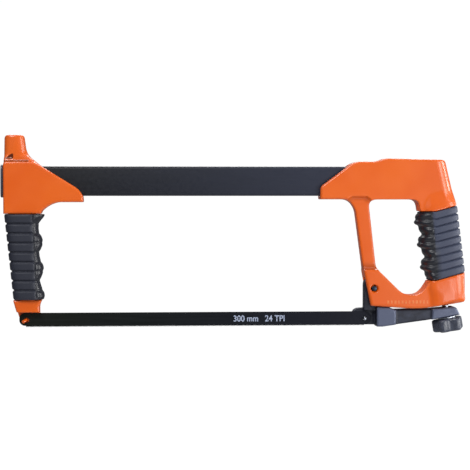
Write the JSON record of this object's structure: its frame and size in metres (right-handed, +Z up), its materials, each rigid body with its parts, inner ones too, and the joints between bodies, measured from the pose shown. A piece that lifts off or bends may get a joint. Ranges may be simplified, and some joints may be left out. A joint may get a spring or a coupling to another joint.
{
  "type": "hacksaw",
  "caption": "Tension hacksaw with a rectangular tube frame, two cast handles with ribbed rubber grips, and a blade tightened by a knob and lever.",
  "frame": {"origin": "middle of the rear grip's column, where the hand holds the saw", "axes": "X along the saw with the front handle at -X, Y across it with the blade put on from -Y, Z up with the blade at the bottom"},
  "size_m": [0.4121, 0.0275, 0.1763],
  "materials": {
    "orange_paint": "gloss",
    "grip_rubber": "satin",
    "coated_tube": "satin",
    "black_plastic": "satin",
    "blade_steel": "satin",
    "lever_coating": "satin",
    "zinc_steel": "satin"
  },
  "bodies": {
    "frame": {"front_handle": "orange_paint", "front_grip": "grip_rubber", "rear_handle": "orange_paint", "rear_grip": "grip_rubber", "frame_tube": "coated_tube", "front_blade_pin": "orange_paint", "lever_pivot_pin": "zinc_steel", "pivot_circlip": "zinc_steel", "threaded_insert": "zinc_steel", "front_tube_screw_1": "zinc_steel", "front_tube_screw_2": "zinc_steel", "rear_tube_screw_1": "zinc_steel", "rear_tube_screw_2": "zinc_steel"},
    "end_plug": {"tube_end_plug": "black_plastic"},
    "saw_blade": {"blade": "blade_steel"},
    "lever": {"tension_lever": "lever_coating", "rear_blade_pin": "zinc_steel"},
    "screw_carriage": {"thrust_washer": "zinc_steel"},
    "knob": {"tension_knob": "black_plastic", "tension_screw": "zinc_steel"}
  },
  "joints": [
    {"name": "screw_travel", "type": "slide", "parent": "frame", "child": "screw_carriage", "axis": [0.165, 0, -0.9863], "range_m": [0, 0.003]},
    {"name": "knob_turn", "type": "hinge", "parent": "screw_carriage", "child": "knob", "pos_m": [0.0093, 0, -0.0644], "axis": [0.165, 0, -0.9863], "range_deg": [0, 1080]},
    {"name": "lever_swing", "type": "hinge", "parent": "frame", "child": "lever", "pos_m": [-0.0578, 0, -0.0387], "axis": [0, 1, 0], "range_deg": [0, 2.5]},
    {"name": "blade_swing", "type": "hinge", "parent": "frame", "child": "saw_blade", "pos_m": [-0.3656, 0, -0.0659], "axis": [0, 0, -1], "range_deg": [0, 12]},
    {"name": "plug_pull", "type": "slide", "parent": "frame", "child": "end_plug", "axis": [-1, 0, 0], "range_m": [0, 0.014]}
  ],
  "couplings": [
    {"joint": "screw_travel", "follows": "knob_turn", "m_per_rad": 0.00015915},
    {"joint": "lever_swing", "follows": "knob_turn", "ratio": 0.0023148}
  ]
}
